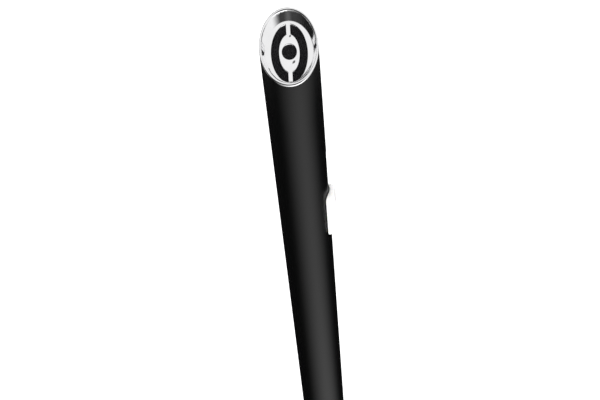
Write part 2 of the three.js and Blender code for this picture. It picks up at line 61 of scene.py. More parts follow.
def radius_at(z):
    return TAIL_R + TAPER * z


# ---------------------------------------------------------------- materials
def material(name, base, rough, metal=0.0, tint=0.1, grain=40.0, rough_var=0.05, bump=0.0, bump_grain=400.0,
             stretch=(1, 1, 1), sheen=0.0, ior=1.5, subsurface=0.0):
    """A surface whose colour, roughness and relief all vary a little with position."""
    mat = bpy.data.materials.new(name)
    mat.use_nodes = True
    nodes, links = mat.node_tree.nodes, mat.node_tree.links
    shader = nodes["Principled BSDF"]
    where = nodes.new("ShaderNodeTexCoord")
    spread = nodes.new("ShaderNodeMapping")
    spread.inputs["Scale"].default_value = [1000 * s for s in stretch]
    links.new(where.outputs["Object"], spread.inputs["Vector"])
    noise = nodes.new("ShaderNodeTexNoise")
    noise.inputs["Scale"].default_value = grain / 1000
    noise.inputs["Detail"].default_value = 4.0
    links.new(spread.outputs["Vector"], noise.inputs["Vector"])
    ramp = nodes.new("ShaderNodeValToRGB")
    ramp.color_ramp.elements[0].position = 0.3
    ramp.color_ramp.elements[1].position = 0.7
    ramp.color_ramp.elements[0].color = [c * (1 - tint) for c in base] + [1]
    ramp.color_ramp.elements[1].color = [min(1, c * (1 + tint)) for c in base] + [1]
    links.new(noise.outputs["Fac"], ramp.inputs["Fac"])
    links.new(ramp.outputs["Color"], shader.inputs["Base Color"])
    span = nodes.new("ShaderNodeMapRange")
    span.inputs["To Min"].default_value = max(0.0, rough - rough_var)
    span.inputs["To Max"].default_value = rough + rough_var
    links.new(noise.outputs["Fac"], span.inputs["Value"])
    links.new(span.outputs["Result"], shader.inputs["Roughness"])
    shader.inputs["Metallic"].default_value = metal
    shader.inputs["IOR"].default_value = ior
    shader.inputs["Sheen Weight"].default_value = sheen
    shader.inputs["Subsurface Weight"].default_value = subsurface
    shader.inputs["Subsurface Radius"].default_value = (0.001, 0.0008, 0.0006)
    if bump:
        fine = nodes.new("ShaderNodeTexNoise")
        fine.inputs["Scale"].default_value = bump_grain / 1000
        fine.inputs["Detail"].default_value = 2
        links.new(spread.outputs["Vector"], fine.inputs["Vector"])
        relief = nodes.new("ShaderNodeBump")
        relief.inputs["Strength"].default_value = 1.0
        relief.inputs["Distance"].default_value = bump / 1000
        links.new(fine.outputs["Fac"], relief.inputs["Height"])
        links.new(relief.outputs["Normal"], shader.inputs["Normal"])
    return mat


MATS = {
    "barrel_black": material("barrel_black", (0.0006, 0.0006, 0.0007), 0.34, tint=0.12, grain=900,
                             rough_var=0.03, bump=0.0008, bump_grain=5000, ior=1.42),
    "bezel_chrome": material("bezel_chrome", (0.965, 0.965, 0.97), 0.05, metal=1.0, tint=0.02, grain=350,
                             rough_var=0.03, bump=0.012, bump_grain=450),
    "inner_grey": material("inner_grey", (0.05, 0.05, 0.055), 0.5, grain=600, bump=0.003, bump_grain=3000),
    "inner_black": material("inner_black", (0.02, 0.02, 0.022), 0.5, grain=600, bump=0.003, bump_grain=3000),
    "spring_steel": material("spring_steel", (0.5, 0.5, 0.51), 0.25, metal=1.0, grain=900, bump=0.002,
                             bump_grain=2500, stretch=(1, 1, 0.15)),
    "slider_white": material("slider_white", (0.90, 0.898, 0.885), 0.34, tint=0.02, grain=500,
                             rough_var=0.04, bump=0.002, bump_grain=2500, subsurface=0.15),
    "bristle_black": material("bristle_black", (0.0075, 0.0068, 0.0088), 0.5, tint=0.95, grain=2600,
                              rough_var=0.12, bump=0.02, bump_grain=5000, stretch=(1, 1, 0.12), sheen=0.04),
    "rubber_black": material("rubber_black", (0.012, 0.012, 0.013), 0.7, grain=800, bump=0.004,
                             bump_grain=4000),
    "pad_black": material("pad_black", (0.014, 0.014, 0.015), 0.95, tint=0.4, grain=3000, bump=0.03,
                          bump_grain=7000, sheen=0.4),
    "sponge_dark": material("sponge_dark", (0.03, 0.03, 0.032), 0.95, tint=0.5, grain=2500, bump=0.12,
                            bump_grain=2600, sheen=0.2),
}


# ---------------------------------------------------------------- mesh helpers
def piece(name, verts, faces, body, slot, stands_for, normals=None, sharp=None):
    """A mesh in millimetres becomes a piece that rides on a body and stands for CAD nodes."""
    mesh = bpy.data.meshes.new(name)
    mesh.from_pydata((np.asarray(verts, float) / 1000).tolist(), [], [list(map(int, f)) for f in faces])
    mesh.validate()
    mesh.materials.append(MATS[slot])
    for p in mesh.polygons:
        p.use_smooth = True
    if sharp:
        mesh.set_sharp_from_angle(angle=math.radians(sharp))
    if normals is not None:
        mesh.normals_split_custom_set_from_vertices([tuple(n) for n in normals])
    obj = bpy.data.objects.new(name, mesh)
    bpy.context.scene.collection.objects.link(obj)
    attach(obj, body)
    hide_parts(*stands_for)
    return obj


def smooth_profile(profile, radius, steps=4):
    """A closed or open [r, z] profile with each sharp corner turned on a small arc."""
    points = [np.array(p, float) for p in profile]
    out = []
    n = len(points)
    for i, p in enumerate(points):
        on_axis = p[0] < 1e-9
        before, after = points[i - 1], points[(i + 1) % n]
        a, b = before - p, after - p
        la, lb = np.linalg.norm(a), np.linalg.norm(b)
        if on_axis or la < 1e-9 or lb < 1e-9 or np.dot(a, b) / (la * lb) < -0.97:
            out.append(p)
            continue
        cut = min(radius, la * 0.45, lb * 0.45)
        start, end = p + a / la * cut, p + b / lb * cut
        for k in range(steps + 1):
            t = k / steps
            out.append((1 - t) ** 2 * start + 2 * t * (1 - t) * p + t ** 2 * end)
    return out


def lathe(name, profile, body, slot, stands_for, rounding=0.12, segments=96, sharp=40):
    """A solid of revolution about Z with softened corners."""
    profile = smooth_profile(profile, rounding)
    rings, verts, faces = [], [], []
    for r, z in profile:
        if r < 1e-9:
            rings.append([len(verts)])
            verts.append((0, 0, z))
        else:
            rings.append(list(range(len(verts), len(verts) + segments)))
            for k in range(segments):
                a = 2 * math.pi * k / segments
                verts.append((r * math.cos(a), r * math.sin(a), z))
    count = len(rings)
    closed = len(rings[0]) > 1 and len(rings[-1]) > 1
    for i in range(count if closed else count - 1):
        a, b = rings[i], rings[(i + 1) % count]
        for k in range(segments):
            m = (k + 1) % segments
            if len(a) == 1 and len(b) == 1:
                break
            if len(a) == 1:
                faces.append((a[0], b[m], b[k]))
            elif len(b) == 1:
                faces.append((a[k], a[m], b[0]))
            else:
                faces.append((a[k], a[m], b[m], b[k]))
    return piece(name, verts, faces, body, slot, stands_for, sharp=sharp)


def resample(points, step):
    """A closed outline, with points at an even spacing."""
    points = np.asarray(points, float)
    loop = np.vstack([points, points[:1]])
    seg = np.linalg.norm(np.diff(loop, axis=0), axis=1)
    along = np.concatenate([[0], np.cumsum(seg)])
    count = max(8, int(round(along[-1] / step)))
    at = np.linspace(0, along[-1], count, endpoint=False)
    return np.stack([np.interp(at, along, loop[:, k]) for k in range(2)], axis=1)


def soften(points, rounds):
    """Rounds a closed outline's corners a little."""
    for _ in range(rounds):
        points = 0.5 * points + 0.25 * (np.roll(points, 1, axis=0) + np.roll(points, -1, axis=0))
    return points


def outward(points):
    """Each point's outward unit normal, for an outline that runs counter-clockwise."""
    along = np.roll(points, -1, axis=0) - np.roll(points, 1, axis=0)
    normal = np.stack([along[:, 1], -along[:, 0]], axis=1)
    return normal / np.maximum(np.linalg.norm(normal, axis=1, keepdims=True), 1e-12)


def edge_distance(points, outline):
    """Each point's distance to a closed outline, and whether it lies inside it."""
    a = outline
    b = np.roll(outline, -1, axis=0)
    d = b - a
    best = np.full(len(points), 1e9)
    inside = np.zeros(len(points), bool)
    length = np.maximum((d ** 2).sum(1), 1e-18)
    for lo in range(0, len(points), 2000):
        p = points[lo:lo + 2000, None, :]
        t = np.clip(((p - a) * d).sum(2) / length, 0, 1)
        gap = np.linalg.norm(p - (a + t[..., None] * d), axis=2)
        best[lo:lo + 2000] = gap.min(axis=1)
        px, py = p[..., 0], p[..., 1]
        over = (a[:, 1] > py) != (b[:, 1] > py)
        with np.errstate(divide="ignore", invalid="ignore"):
            cross = a[:, 0] + (py - a[:, 1]) * d[:, 0] / d[:, 1]
        inside[lo:lo + 2000] = (over & (px < cross)).sum(axis=1) % 2 == 1
    return best, inside


def plate(rim, holes, extra):
    """Triangles over a flat outline with holes, through the extra points."""
    points = [tuple(p) for p in rim]
    edges = [(i, (i + 1) % len(rim)) for i in range(len(rim))]
    for hole in holes:
        base = len(points)
        points += [tuple(p) for p in hole]
        edges += [(base + i, base + (i + 1) % len(hole)) for i in range(len(hole))]
    points += [tuple(p) for p in extra]
    made = delaunay_2d_cdt([Vector(p) for p in points], edges, [], 0, 1e-7)
    xy = np.array([tuple(v) for v in made[0]])
    tris = np.array([tuple(f) for f in made[2]])
    middle = xy[tris].mean(axis=1)
    _, keep = edge_distance(middle, np.asarray(rim))
    for hole in holes:
        keep &= ~edge_distance(middle, np.asarray(hole))[1]
    tris = tris[keep]
    a, b, c = (xy[tris[:, k]] for k in range(3))
    flip = np.cross(b - a, c - a) < 0
    tris[flip] = tris[flip][:, ::-1]
    return xy, tris


def slab(xy, tris, top, bottom):
    """Closes a plate between its top and bottom heights. Returns vertices and faces."""
    n = len(xy)
    verts = np.vstack([np.column_stack([xy, top]), np.column_stack([xy, bottom])])
    faces = [tuple(t) for t in tris] + [tuple(t[::-1] + n) for t in tris]
    pairs = {}
    for t in tris:
        for i in range(3):
            a, b = int(t[i]), int(t[(i + 1) % 3])
            pairs[(a, b)] = True
    for a, b in pairs:
        if (b, a) not in pairs:
            faces.append((b, a, a + n, b + n))
    return verts, faces


def relief_normals(xy, height, step=0.004):
    """Normals of the surface z = height(x, y)."""
    dx = (height(xy + [step, 0]) - height(xy - [step, 0])) / (2 * step)
    dy = (height(xy + [0, step]) - height(xy - [0, step])) / (2 * step)
    n = np.column_stack([-dx, -dy, np.ones(len(xy))])
    return n / np.linalg.norm(n, axis=1, keepdims=True)


def ellipse_arc(a, b, start, end, count):
    t = np.linspace(start, end, count)
    return np.column_stack([a * np.cos(t), b * np.sin(t)])


# ---------------------------------------------------------------- slots in the mouth
def arc_outline(side, inset=0.0):
    edge = BRIDGE / 2 + inset
    ox, oy = RING_X - inset, RING_Y - inset
    ix, iy = RING_X - SLOT_WIDE + inset, RING_Y - SLOT_WIDE + inset
    oa, ia = math.acos(edge / ox), math.acos(edge / ix)
    outline = np.vstack([ellipse_arc(ox, oy, -oa, oa, 160), ellipse_arc(ix, iy, ia, -ia, 120)])
    if side < 0:
        outline = (outline * [-1, 1])[::-1]
    return soften(resample(outline, 0.07), 3)


def core_outline(inset=0.0):
    hole = ellipse_arc(CORE_X - inset, CORE_Y - inset, 0, 2 * math.pi, 200)[:-1]
    return resample(hole + [0, CORE_SHIFT], 0.07)


SLOTS = [core_outline(), arc_outline(1), arc_outline(-1)]

# ---------------------------------------------------------------- chromed mouth bezel
BEAD = 0.25  # radius of the bead round the mouth
BEAD_LIFT = 0.12
DISH_TOP_W = 0.10
FLOOR_R = 5.6  # the floor's outline, about the pen's axis
COVE_R = 4.95  # the same in the lower half, where a wide cove takes the wall's place
EDGE_ROUND = 0.13  # of the slots' edges
# Sink marks: place, half sizes, turn and height
SINKS = [(0.62, 2.75, 0.42, 0.38, 0.6, 0.07), (1.25, -1.95, 0.62, 0.42, 0.5, 0.09),
         (0.2, -2.9, 0.5, 0.7, 0.2, 0.05), (-1.6, 0.3, 0.4, 0.8, 0.0, 0.02)]


def floor_wave(xy):
    """The slight waviness of a plated moulding's floor."""
    x, y = xy[:, 0], xy[:, 1]
    wave = np.zeros(len(xy))
    for cx, cy, wide, tall, turn, lift in SINKS:
        c, s = math.cos(turn), math.sin(turn)
        u = ((x - cx) * c + (y - cy) * s) / wide
        v = ((y - cy) * c - (x - cx) * s) / tall
        wave = wave + lift * np.exp(-u * u - v * v)
    return wave


def dish_w(xy):
    """The chromed surface's height over the mouth plane, slot edges left out."""
    rho = np.hypot(xy[:, 0], xy[:, 1])
    inset = MOUTH_R - rho
    bead = BEAD_LIFT + np.sqrt(np.clip(BEAD ** 2 - (inset - BEAD) ** 2, 0, None))
    angle = np.arctan2(xy[:, 1], xy[:, 0])
    start = MOUTH_R - 2 * BEAD
    low = np.clip((-0.08 - np.sin(angle)) / 0.75, 0, 1)
    low = low * low * (3 - 2 * low)
    inner = FLOOR_R + (COVE_R - FLOOR_R) * low
    t = np.clip((rho - inner) / (start - inner), 0, 1)
    steep = t ** (1.15 + 0.45 * low)
    wall = FLOOR_W + (DISH_TOP_W - FLOOR_W) * steep * (1 - np.exp(-(t / 0.12) ** 2))
    wall = wall + floor_wave(xy) * np.clip((inner - rho) / 0.5, 0, 1)
    return np.where(inset < 2 * BEAD, bead, wall)


def mouth_height(xy):
    base = MOUTH_Z + (dish_w(xy) + xy[:, 1] * COS) / SIN
    for hole in SLOTS:
        gap, _ = edge_distance(xy, hole)
        u = np.clip(1 - gap / EDGE_ROUND, 0, 1)
        base = base - EDGE_ROUND * (1 - np.sqrt(np.clip(1 - u ** 2, 0, None)))
    return base


def build_bezel():
    rings = []
    for k in range(0, 15):
        rings.append((MOUTH_R - BEAD * (1 - math.cos(math.pi * k / 14)), 240))
    start = MOUTH_R - 2 * BEAD
    for k in range(1, 26):
        rings.append((start - 0.02 - (start - 4.3) * (k / 25) ** 1.1, 200))
    rim = [(MOUTH_R * math.cos(2 * math.pi * k / 240), MOUTH_R * math.sin(2 * math.pi * k / 240))
           for k in range(240)]
    extra = []
    for n, (r, count) in enumerate(rings[1:]):
        shift = 0.5 * (n % 2)
        angles = 2 * math.pi * (np.arange(count) + shift) / count
        extra.append(np.column_stack([r * np.cos(angles), r * np.sin(angles)]))
    for r in np.arange(0.2, 4.2, 0.2):
        count = max(6, int(2 * math.pi * r / 0.22))
        angles = 2 * math.pi * np.arange(count) / count
        extra.append(np.column_stack([r * np.cos(angles), r * np.sin(angles)]))
    extra = np.vstack(extra)
    keep = np.ones(len(extra), bool)
    for hole in SLOTS:
        gap, inside = edge_distance(extra, hole)
        keep &= (gap > EDGE_ROUND + 0.04) & ~inside
    rows = [extra[keep]]
    for hole in SLOTS:
        normal = outward(hole)
        for gap in (0.012, 0.04, 0.08, 0.12, EDGE_ROUND):
            rows.append(hole + normal * gap)
    xy, tris = plate(rim, SLOTS, np.vstack(rows))
    top = mouth_height(xy)
    rho = np.hypot(xy[:, 0], xy[:, 1])
    under = np.where(rho > MOUTH_R - 0.45, 0.04, FLOOR_W - 0.17)
    bottom = MOUTH_Z + (under + xy[:, 1] * COS) / SIN
    verts, faces = slab(xy, tris, top, bottom)
    normals = relief_normals(xy, mouth_height)
    # The slots' edges and the bead's outside end upright, facing across.
    for hole in SLOTS:
        gap, _ = edge_distance(xy, hole)
        nearest = np.argmin(((xy[:, None, :] - hole[None]) ** 2).sum(2), axis=1)
        across = -outward(hole)[nearest]
        at = gap < 1e-4
        normals[at] = np.column_stack([across[at], np.zeros(at.sum())])
    at = rho > MOUTH_R - 1e-4
    normals[at] = np.column_stack([xy[at] / rho[at, None], np.zeros(at.sum())])
    low = np.zeros((len(xy), 3))
    low[:, 2] = -1
    for hole in SLOTS:
        gap, _ = edge_distance(xy, hole)
        nearest = np.argmin(((xy[:, None, :] - hole[None]) ** 2).sum(2), axis=1)
        at = gap < 1e-4
        low[at] = np.column_stack([-outward(hole)[nearest][at], np.zeros(at.sum())])
    at = rho > MOUTH_R - 1e-4
    low[at] = np.column_stack([xy[at] / rho[at, None], np.zeros(at.sum())])
    return piece("bezel", verts, faces, "barrel", "bezel_chrome", ["mouth_bezel"],
                 normals=np.vstack([normals, low]))


build_bezel()


COLLAR_HIGH, COLLAR_LOW = 0.10, 0.9  # the collars' ends, below the slots' rounded edges


def build_collars():
    """Black walls inside the slots, just under the chromed edges."""
    verts, faces = [], []
    for hole in SLOTS:
        wall = resample(hole, 0.15)
        back = wall + outward(wall) * 0.12
        base, n = len(verts), len(wall)
        corners = ((wall, COLLAR_HIGH), (back, COLLAR_HIGH), (back, COLLAR_LOW), (wall, COLLAR_LOW))
        for ring, drop in corners:
            for x, y in ring:
                verts.append((x, y, MOUTH_Z + (FLOOR_W + y * COS) / SIN - EDGE_ROUND - drop))
        for r in range(4):
            for i in range(n):
                j = (i + 1) % n
                a, b = base + r * n, base + ((r + 1) % 4) * n
                faces.append((a + i, a + j, b + j, b + i))
    return piece("slot_collars", verts, faces, "barrel", "inner_black", ["mouth_bezel"], sharp=40)


build_collars()


# ---------------------------------------------------------------- barrel
def build_barrel():
    seg = 192
    edge = 0.1
    verts, faces = [], []
    columns = []
    heights = [0, 0.02, 0.25, 0.5, 0.75, 0.9, 1.0]
    for k in range(seg):
        s = math.sin(2 * math.pi * k / seg)
        z0 = BARREL_LOW
        outer_top = MOUTH_Z + (-edge + radius_at(MOUTH_Z) * s * COS) / SIN
        line = [(radius_at(z0) - 0.2, z0), (radius_at(z0) - 0.05, z0 + 0.05), (radius_at(z0), z0 + 0.2)]
        for h in heights[1:]:
            z = z0 + 0.2 + (outer_top - z0 - 0.2) * h
            line.append((radius_at(z), z))
        rt = radius_at(outer_top)
        line.append((rt - 0.03, MOUTH_Z + (-0.03 + (rt - 0.03) * s * COS) / SIN))
        line.append((rt - 0.1, MOUTH_Z + (0.0 + (rt - 0.1) * s * COS) / SIN))
        line.append((rt - 0.42, MOUTH_Z + (0.0 + (rt - 0.42) * s * COS) / SIN))
        line.append((rt - 0.42, MOUTH_Z + (-6.5 + (rt - 0.42) * s * COS) / SIN))
        line.append((radius_at(z0) - WALL, z0))
        columns.append(line)
    rows = len(columns[0])
    for k, line in enumerate(columns):
        a = 2 * math.pi * k / seg
        for r, z in line:
            verts.append((r * math.cos(a), r * math.sin(a), z))
    for k in range(seg):
        m = (k + 1) % seg
        for i in range(rows):
            j = (i + 1) % rows
            faces.append((k * rows + i, m * rows + i, m * rows + j, k * rows + j))
    obj = piece("barrel_tube", verts, faces, "barrel", "barrel_black", ["barrel"])
    # The slider's slot, cut with a long round-ended bar
    low, high = SLIDER_Z - 4.2, SLIDER_Z + 4.0 + TRAVEL + 0.2
    half = 1.2
    outline = []
    for k in range(17):
        a = math.pi * k / 16
        outline.append((half * math.cos(a), high - half + half * math.sin(a)))
    for k in range(17):
        a = math.pi + math.pi * k / 16
        outline.append((half * math.cos(a), low + half + half * math.sin(a)))
    n = len(outline)
    bar = [(3.0, y, z) for y, z in outline] + [(9.0, y, z) for y, z in outline]
    sides = [(i, (i + 1) % n, (i + 1) % n + n, i + n) for i in range(n)]
    sides += [tuple(range(n))[::-1], tuple(range(n, 2 * n))]
    cut = bpy.data.meshes.new("cutter")
    cut.from_pydata((np.array(bar) / 1000).tolist(), [], sides)
    cutter = bpy.data.objects.new("cutter", cut)
    bpy.context.scene.collection.objects.link(cutter)
    mod = obj.modifiers.new("slot", "BOOLEAN")
    mod.operation, mod.solver, mod.object = "DIFFERENCE", "EXACT", cutter
    bpy.context.view_layer.update()
    evaluated = obj.evaluated_get(bpy.context.evaluated_depsgraph_get())
    cut_mesh = bpy.data.meshes.new_from_object(evaluated)
    obj.modifiers.clear()
    obj.data = cut_mesh
    bpy.data.objects.remove(cutter)
    for p in cut_mesh.polygons:
        p.use_smooth = True
    cut_mesh.set_sharp_from_angle(angle=math.radians(50))
    return obj


build_barrel()


# ---------------------------------------------------------------- thumb slider
RIB_PITCH, RIB_COUNT, RIB_DEPTH = 1.0, 7, 0.34
FLANGE_H = 0.75
CROWN_LOW_H, CROWN_HIGH_H = 1.26, 1.72  # the crown's height at the low end of the ribs and at their top
CROWN_FALL = 0.62  # of the smooth upper part
HALF_LONG = SLIDER_LONG / 2
RIB_TOP_V = HALF_LONG - 3.9
CROWN_LOW_V = -HALF_LONG + 1.85


def rounded_box(wide, long, corner, v_shift=0.0, count=24):
    out = []
    for cx, cy, start in ((1, 1, 0), (-1, 1, 90), (-1, -1, 180), (1, -1, 270)):
        for k in range(count + 1):
            a = math.radians(start + 90 * k / count)
            out.append((cx * (wide / 2 - corner) + corner * math.cos(a),
                        cy * (long / 2 - corner) + corner * math.sin(a) + v_shift))
    return resample(out, 0.12)


SLIDER_RIM = rounded_box(SLIDER_WIDE, SLIDER_LONG, SLIDER_CORNER)
CROWN_LONG = HALF_LONG - 0.1 - CROWN_LOW_V
CROWN_RIM = rounded_box(SLIDER_WIDE - 0.7, CROWN_LONG, 1.3, (HALF_LONG - 0.1 + CROWN_LOW_V) / 2)


def round_edge(distance, radius):
    u = np.clip(1 - distance / radius, 0, 1)
    return np.sqrt(np.clip(1 - u ** 2, 0, None))


def slider_height(uv):
    """The slider's height over the barrel's surface, from u across and v along."""
    gap, inside = edge_distance(uv, SLIDER_RIM)
    flange = FLANGE_H * (0.62 + 0.38 * round_edge(np.where(inside, gap, 0), 0.3))
    cgap, cin = edge_distance(uv, CROWN_RIM)
    cgap = np.where(cin, cgap, 0)
    v = uv[:, 1]
    # The crown falls away towards the low end of the ribs and dips off at the upper end.
    climb = np.clip((v - CROWN_LOW_V) / (RIB_TOP_V - CROWN_LOW_V), 0, 1)
    ramp = CROWN_LOW_H + (CROWN_HIGH_H - CROWN_LOW_H) * climb
    upper = np.clip((v - RIB_TOP_V) / (HALF_LONG - RIB_TOP_V), 0, 1)
    ramp = ramp - CROWN_FALL * upper ** 2.2
    sag = 0.10 * (uv[:, 0] / (SLIDER_WIDE / 2)) ** 2
    phase = (RIB_TOP_V - v) / RIB_PITCH
    ribbed = (phase > 0) & (phase < RIB_COUNT)
    wave = 0.5 - 0.5 * np.cos(2 * math.pi * phase)
    valley = np.where(ribbed, RIB_DEPTH * (1 - wave) ** 1.6, 0)
    crown = (ramp - sag - valley * np.clip(cgap / 0.25, 0, 1) - flange) * round_edge(cgap, 0.42)
    return flange + np.clip(crown, 0, None)


def build_slider():
    us = np.arange(-SLIDER_WIDE / 2, SLIDER_WIDE / 2 + 0.01, 0.12)
    vs = np.arange(-HALF_LONG, HALF_LONG + 0.01, 0.06)
    grid = np.array([(u, v) for u in us for v in vs])
    gap, inside = edge_distance(grid, SLIDER_RIM)
    grid = grid[inside & (gap > 0.05)]
    normal = outward(SLIDER_RIM)
    uv, tris = plate(SLIDER_RIM, [], np.vstack([grid, SLIDER_RIM - normal * 0.02]))
    top = slider_height(uv)
    base = radius_at(SLIDER_Z)

    def place(uv, lift):
        z = SLIDER_Z + uv[:, 1]
        round_back = np.sqrt(np.clip((base + 0.2) ** 2 - uv[:, 0] ** 2, 0, None)) - (base + 0.2)
        drop = np.where(lift < 0.05, round_back, 0)
        x = base + TAPER * uv[:, 1] + lift + drop
        return np.column_stack([x, uv[:, 0], z])

    count = len(uv)
    high = place(uv, top)
    low = place(uv, np.full(count, 0.0))
    low[:, 0] += 0.2
    verts = np.vstack([high, low])
    faces = [tuple(t) for t in tris] + [tuple(t[::-1] + count) for t in tris]
    pairs = {(int(t[i]), int(t[(i + 1) % 3])) for t in tris for i in range(3)}
    faces += [(b, a, a + count, b + count) for a, b in pairs if (b, a) not in pairs]
    return piece("slider", verts, faces, "brush", "slider_white", ["slider_button"], sharp=55)


build_slider()


def build_neck():
    """The slider's neck, which runs in the slot."""
    outline = []
    for k in range(13):
        a = math.pi * k / 12
        outline.append((math.cos(a), SLIDER_Z + 3 + math.sin(a)))
    for k in range(13):
        a = math.pi + math.pi * k / 12
        outline.append((math.cos(a), SLIDER_Z - 3 + math.sin(a)))
    n = len(outline)
    x0, x1 = 1.9, radius_at(SLIDER_Z) + 0.4
    verts = [(x0, y, z) for y, z in outline] + [(x1, y, z) for y, z in outline]
    faces = [(i, (i + 1) % n, (i + 1) % n + n, i + n) for i in range(n)]
    faces += [tuple(range(n))[::-1], tuple(range(n, 2 * n))]
    return piece("slider_neck", verts, faces, "brush", "slider_white", ["slider_button"], sharp=40)


build_neck()

# ---------------------------------------------------------------- brush tufts
TUFT_SINK = 0.14
HAIR = 0.085  # half the thickness of a lock of hair
TUFT_ROOT = 112.0
rng = np.random.default_rng(11)


def tuft_top(x, y):
    return MOUTH_Z + (FLOOR_W + y * COS) / SIN - TUFT_SINK


def build_tuft(name, outline, node):
    """Locks of hair, each a tapering five-sided strand, round a solid heart."""
    lo, hi = outline.min(axis=0), outline.max(axis=0)
    pitch = HAIR * 1.75
    spots = []
    row = 0
    y = lo[1]
    while y <= hi[1]:
        x = lo[0] + (0.5 * pitch if row % 2 else 0)
        while x <= hi[0]:
            spots.append((x, y))
            x += pitch
        y += pitch * 0.87
        row += 1
    spots = np.array(spots) + rng.uniform(-0.03, 0.03, (len(spots), 2))
    gap, inside = edge_distance(spots, outline)
    spots = spots[inside & (gap > HAIR * 1.2)]
    verts, faces = [], []
    for x, y in spots:
        tip = tuft_top(x, y) + rng.uniform(-0.28, 0.05)
        lean = rng.normal(0, 0.03, 2)
        turn = rng.uniform(0, 2 * math.pi)
        size = HAIR * rng.uniform(0.9, 1.12)
        levels = [(TUFT_ROOT, 1.0, 0.0), (tip - 3.0, 1.0, 0.3), (tip - 0.5, 0.9, 0.8),
                  (tip - 0.12, 0.62, 0.95)]
        base = len(verts)
        for z, scale, bend in levels:
            for k in range(5):
                a = turn + 2 * math.pi * k / 5
                verts.append((x + lean[0] * bend + size * scale * math.cos(a),
                              y + lean[1] * bend + size * scale * math.sin(a), z))
        verts.append((x + lean[0], y + lean[1], tip))
        for level in range(3):
            for k in range(5):
                i, j = base + 5 * level + k, base + 5 * level + (k + 1) % 5
                faces.append((i, j, j + 5, i + 5))
        last = base + 15
        for k in range(5):
            faces.append((last + k, last + (k + 1) % 5, base + 20))
        faces.append(tuple(base + k for k in range(4, -1, -1)))
    heart = soften(resample(outline, 0.2), 2)
    normal = outward(heart)
    heart = heart - normal * 0.22
    n = len(heart)
    base = len(verts)
    for x, y in heart:
        verts.append((x, y, TUFT_ROOT))
    for x, y in heart:
        verts.append((x, y, tuft_top(x, y) - 0.7))
    for i in range(n):
        j = (i + 1) % n
        faces.append((base + i, base + j, base + j + n, base + i + n))
    tris = plate([tuple(p) for p in heart], [], heart[:0])[1]
    for t in tris:
        faces.append(tuple(int(v) + base + n for v in t))
        faces.append(tuple(int(v) + base for v in t[::-1]))
    return piece(name, verts, faces, "brush", "bristle_black", [node], sharp=60)


build_tuft("tuft_core", core_outline(0.1), "brush_tuft_core")
build_tuft("tuft_right", arc_outline(1, 0.1), "brush_tuft_right")
build_tuft("tuft_left", arc_outline(-1, 0.1), "brush_tuft_left")


# ---------------------------------------------------------------- tail: trim, holder, tip and cap
def arc_points(cx, cy, radius, start, end, steps):
    angles = [math.radians(start + (end - start) * k / steps) for k in range(steps + 1)]
    return [(cx + radius * math.cos(a), cy + radius * math.sin(a)) for a in angles]


lathe("trim_band", [
    (5.16, TRIM_LOW), (radius_at(TRIM_LOW) + 0.12, TRIM_LOW), (radius_at(TRIM_HIGH) + 0.12, TRIM_HIGH),
    (5.16, TRIM_HIGH),
], "barrel", "bezel_chrome", ["trim_ring"], rounding=0.3)

lathe("cap_tube", [
    (radius_at(0) - 0.6, 0), (radius_at(0) - 0.22, 0), (radius_at(0.22), 0.22), (radius_at(10), 10),
    (radius_at(19.38), 19.38), (radius_at(19.6) - 0.22, 19.6), (radius_at(19.6) - 0.6, 19.6),
], "cap", "barrel_black", ["cap_shell"], rounding=0.12)

lathe("cap_disc", [
    (0, 0.06), (3.9, 0.06), (4.2, 0.0), (5.07, 0), (5.32, 0.25), (5.32, 1.2), (0, 1.2),
], "cap", "bezel_chrome", ["cap_end_disc"], rounding=0.12)

lathe("cap_lining", [
    (0, 1.25), (radius_at(1.25) - 0.65, 1.25), (radius_at(18.78) - 0.65, 18.78), (4.75, 18.78), (4.583, 18.6),
    (4.583, 16.32), (5.133, 16.28), (5.133, 15.52), (4.583, 15.48), (4.583, 11.1), (4.879, 10.8),
    (4.879, 1.85), (0, 1.85),
], "cap", "inner_black", ["cap_liner"], rounding=0.07)

lathe("cap_o_ring", [(4.733 + 0.35 * math.cos(a), 15.9 + 0.35 * math.sin(a))
                     for a in np.radians(np.arange(0, 360, 12.0))],
      "cap_ring", "rubber_black", ["cap_friction_ring"], rounding=0.0)

lathe("holder", [
    (4.343, 12.15), (4.343, 15.3), (4.343, 18.84), (4.42, 18.9), (5.34, 18.9), (5.46, 19.02), (5.46, 19.5),
    (5.36, 19.6), (5.11, 19.62), (5.11, 20.9), (5.36, 20.9), (5.468, 21.02), (5.468, 28.7), (5.27, 28.9),
    (2.4, 28.9), (2.4, 17.9), (1.3, 17.9), (1.3, 11.9), (4.1, 11.9),
], "barrel", "inner_black", ["tip_holder"], rounding=0.1)

lathe("ball_stem",
      arc_points(0, 8.6, 1.3, -90, 54.8, 24) + [(0.75, 10.4), (0.75, 11.2), (1.0, 11.75), (1.25, 11.95),
                                               (1.25, 15.85), (0, 15.85)],
      "barrel", "spring_steel", ["tip_ball_stem"], rounding=0.1)

lathe("carrier",
      [(0, 5.55), (3.38, 5.55), (3.5, 5.67), (3.5, 6.33), (3.38, 6.45), (2.6, 6.5), (2.2, 6.9), (2.2, 9.2),
       (2.05, 9.4)] + arc_points(0, 8.6, 1.42, 34.2, -90, 24),
      "cleaning_tip", "rubber_black", ["tip_carrier"], rounding=0.08)


